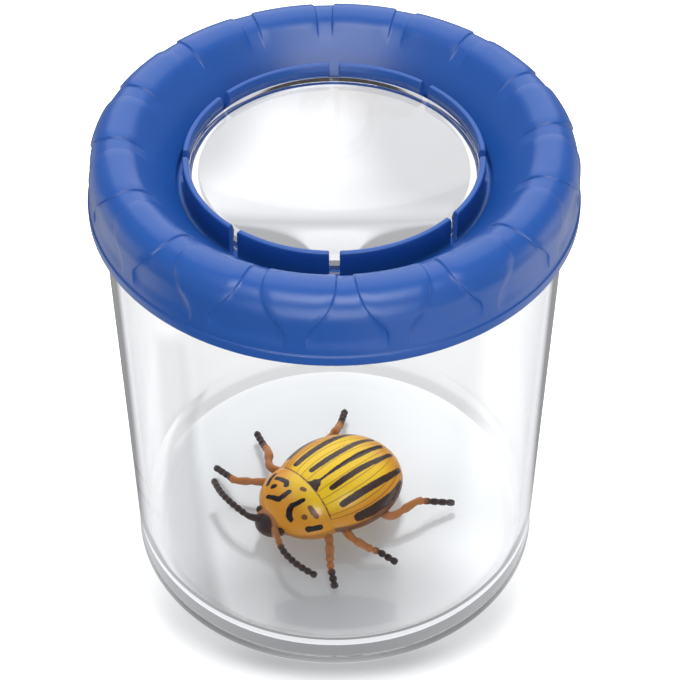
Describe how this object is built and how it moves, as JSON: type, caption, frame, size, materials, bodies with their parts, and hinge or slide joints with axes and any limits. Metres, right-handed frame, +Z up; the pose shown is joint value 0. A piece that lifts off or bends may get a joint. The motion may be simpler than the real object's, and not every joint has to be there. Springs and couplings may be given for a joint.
{
  "type": "bug catcher jar",
  "caption": "Clear round specimen jar with a push-on fluted blue lid that holds a magnifying lens between springy fingers, and a loose toy beetle on its floor.",
  "frame": {"origin": "centre of the jar's underside, on the surface that it stands on", "axes": "+Z up along the jar's axis, -Y towards the viewer of the picture, +X to that viewer's right"},
  "size_m": [0.0992, 0.0992, 0.11],
  "materials": {
    "clear_plastic": "clear, polished",
    "blue_plastic": "satin, fine moulded grain",
    "lens_plastic": "clear, polished",
    "painted_toy": "painted, semi gloss"
  },
  "bodies": {
    "jar": {"jar": "clear_plastic"},
    "lid": {"lid": "blue_plastic", "lens": "lens_plastic"},
    "beetle": {"toy_beetle": "painted_toy"}
  },
  "joints": [
    {"name": "lid_lift", "type": "slide", "parent": "jar", "child": "lid", "axis": [0, 0, 1], "range_m": [0, 0.04]},
    {"name": "beetle_lift", "type": "slide", "parent": "jar", "child": "beetle", "axis": [0, 0, 1], "range_m": [0, 0.07]}
  ]
}
